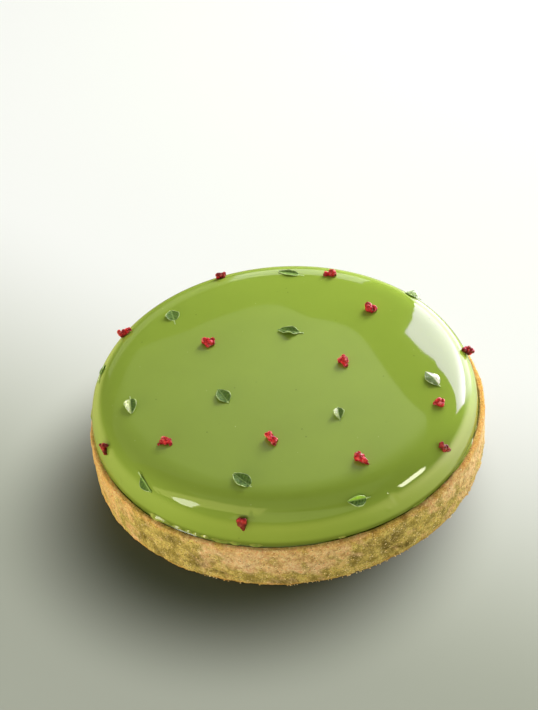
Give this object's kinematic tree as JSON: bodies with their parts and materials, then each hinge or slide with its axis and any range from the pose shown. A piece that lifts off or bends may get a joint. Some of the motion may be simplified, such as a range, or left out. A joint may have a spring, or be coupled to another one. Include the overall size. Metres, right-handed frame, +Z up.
{
  "type": "fruit tart",
  "caption": "Uncut raspberry matcha tart: shortcrust shell, domed mirror-glazed green filling with a round shoulder, raspberry pieces and small herb leaves on top",
  "frame": {"origin": "centre of the crust's flat underside, at the middle of the bounding box", "axes": "+Z up out of the glazed top, -Y towards the viewer of the picture, +X to the viewer's right"},
  "size_m": [0.1608, 0.1602, 0.0411],
  "materials": {
    "shortcrust": null,
    "matcha_glaze": null,
    "raspberry": null,
    "leaf": null
  },
  "bodies": {
    "root": {"crust": "shortcrust", "glazed_filling": "matcha_glaze", "raspberry_piece_01": "raspberry", "raspberry_piece_02": "raspberry", "raspberry_piece_03": "raspberry", "raspberry_piece_04": "raspberry", "raspberry_piece_05": "raspberry", "raspberry_piece_06": "raspberry", "raspberry_piece_07": "raspberry", "raspberry_piece_08": "raspberry", "raspberry_piece_09": "raspberry", "raspberry_piece_10": "raspberry", "raspberry_piece_11": "raspberry", "raspberry_piece_12": "raspberry", "raspberry_piece_13": "raspberry", "raspberry_piece_14": "raspberry", "leaf_01": "leaf", "leaf_02": "leaf", "leaf_03": "leaf", "leaf_04": "leaf", "leaf_05": "leaf", "leaf_06": "leaf", "leaf_07": "leaf", "leaf_08": "leaf", "leaf_09": "leaf", "leaf_10": "leaf", "leaf_11": "leaf", "leaf_12": "leaf"}
  },
  "joints": []
}
